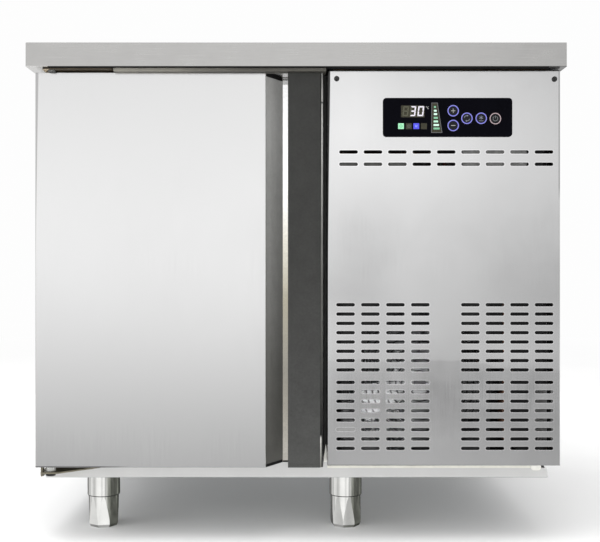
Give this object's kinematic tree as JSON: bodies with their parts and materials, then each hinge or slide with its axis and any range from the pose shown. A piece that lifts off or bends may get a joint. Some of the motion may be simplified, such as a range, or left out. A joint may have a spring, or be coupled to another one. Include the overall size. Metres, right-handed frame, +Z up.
{
  "type": "freezer counter",
  "caption": "Free-standing counter freezer with a hinged full-height door, a recessed pull, a machine compartment behind a slotted panel with a touch controller, and adjustable feet.",
  "frame": {"origin": "on the floor under the middle of the worktop, with the feet wound in", "axes": "+X to the right as seen from the front, +Y from the front to the back, +Z up; the door and the controller face -Y"},
  "size_m": [0.9, 0.7, 0.84],
  "materials": {
    "stainless_top": "satin",
    "stainless_front": "satin",
    "stainless_body": "satin",
    "stainless_liner": "satin",
    "zinc_sheet": "satin",
    "grey_paint": "satin",
    "bracket_black": "satin",
    "screw_black": "satin",
    "recess_aluminium": "satin",
    "grip_slate": "satin",
    "foam": "matte",
    "core_board": "matte",
    "gasket_grey": "matte",
    "nylon_white": "satin",
    "plastic_black": "satin",
    "faceplate_black": "gloss",
    "lens_smoke": "gloss",
    "key_disc": "gloss",
    "circuit_green": "satin",
    "compressor_black": "satin",
    "rubber_black": "matte",
    "coil_aluminium": "satin",
    "fan_aluminium": "satin",
    "motor_steel": "satin",
    "guard_wire": "satin",
    "copper": "satin",
    "copper_drier": "satin",
    "pipe_grey": "matte",
    "tray_black": "satin",
    "shelf_coated": "satin",
    "polished_steel": "polished",
    "pin_steel": "satin"
  },
  "bodies": {
    "cabinet": {"worktop": "stainless_top", "worktop_core": "core_board", "top_rail": "stainless_body", "cabinet_shell": "stainless_body", "front_frame": "stainless_body", "inner_liner": "stainless_liner", "insulation_foam": "foam", "base_pan": "zinc_sheet", "base_front_strip": "grey_paint", "machine_side_panel": "stainless_body", "machine_rear_grille": "zinc_sheet", "panel_support_rail": "zinc_sheet", "machine_front_panel": "stainless_front", "panel_screws": "screw_black", "panel_bottom_clips": "nylon_white", "control_housing": "plastic_black", "control_faceplate": "faceplate_black", "display_lenses": "lens_smoke", "touch_keys": "key_disc", "control_board": "circuit_green", "unit_base_plate": "zinc_sheet", "compressor": "compressor_black", "compressor_grommets": "rubber_black", "compressor_terminal_box": "plastic_black", "condenser_coil": "coil_aluminium", "condenser_shroud": "zinc_sheet", "condenser_fan_guard": "guard_wire", "condenser_fan_motor": "motor_steel", "filter_drier": "copper_drier", "discharge_pipe": "copper", "suction_pipe": "copper", "condensate_tray": "tray_black", "drain_pipe": "pipe_grey", "evaporator_coil": "coil_aluminium", "evaporator_cover": "stainless_liner", "evaporator_fan_motor": "motor_steel", "shelf_pilasters": "stainless_liner", "shelf_clips": "stainless_liner", "temperature_probe": "plastic_black", "top_hinge_bracket": "bracket_black", "bottom_hinge_bracket": "bracket_black", "hinge_pins": "pin_steel", "hinge_screws": "screw_black", "leg_sleeves": "polished_steel", "cable_gland": "plastic_black"},
    "door": {"door_skin": "stainless_front", "door_foam": "foam", "door_inner_panel": "stainless_liner", "door_gasket": "gasket_grey", "handle_channel": "recess_aluminium", "handle_grip": "grip_slate", "hinge_bushes": "nylon_white"},
    "condenser_fan": {"condenser_fan_rotor": "fan_aluminium"},
    "evaporator_fan": {"evaporator_fan_rotor": "plastic_black"},
    "shelf_low": {"lower_shelf": "shelf_coated"},
    "shelf_high": {"upper_shelf": "shelf_coated"},
    "leg_front_left": {"foot_front_left": "polished_steel"},
    "leg_front_right": {"foot_front_right": "polished_steel"},
    "leg_rear_left": {"foot_rear_left": "polished_steel"},
    "leg_rear_right": {"foot_rear_right": "polished_steel"}
  },
  "joints": [
    {"name": "door_hinge", "type": "hinge", "parent": "cabinet", "child": "door", "pos_m": [-0.42, -0.302, 0.46], "axis": [0, 0, -1], "range_deg": [0, 110]},
    {"name": "condenser_fan_spin", "type": "hinge", "parent": "cabinet", "child": "condenser_fan", "pos_m": [0.223, -0.187, 0.257], "axis": [0, 1, 0], "continuous": true},
    {"name": "evaporator_fan_spin", "type": "hinge", "parent": "cabinet", "child": "evaporator_fan", "pos_m": [-0.075, 0.215, 0.632], "axis": [0, 1, 0], "continuous": true},
    {"name": "lower_shelf_lift", "type": "slide", "parent": "cabinet", "child": "shelf_low", "axis": [0, 0, 1], "range_m": [0, 0.025]},
    {"name": "upper_shelf_lift", "type": "slide", "parent": "cabinet", "child": "shelf_high", "axis": [0, 0, 1], "range_m": [0, 0.025]},
    {"name": "leg_front_left_height", "type": "slide", "parent": "cabinet", "child": "leg_front_left", "axis": [0, 0, -1], "range_m": [0, 0.025]},
    {"name": "leg_front_right_height", "type": "slide", "parent": "cabinet", "child": "leg_front_right", "axis": [0, 0, -1], "range_m": [0, 0.025]},
    {"name": "leg_rear_left_height", "type": "slide", "parent": "cabinet", "child": "leg_rear_left", "axis": [0, 0, -1], "range_m": [0, 0.025]},
    {"name": "leg_rear_right_height", "type": "slide", "parent": "cabinet", "child": "leg_rear_right", "axis": [0, 0, -1], "range_m": [0, 0.025]}
  ]
}
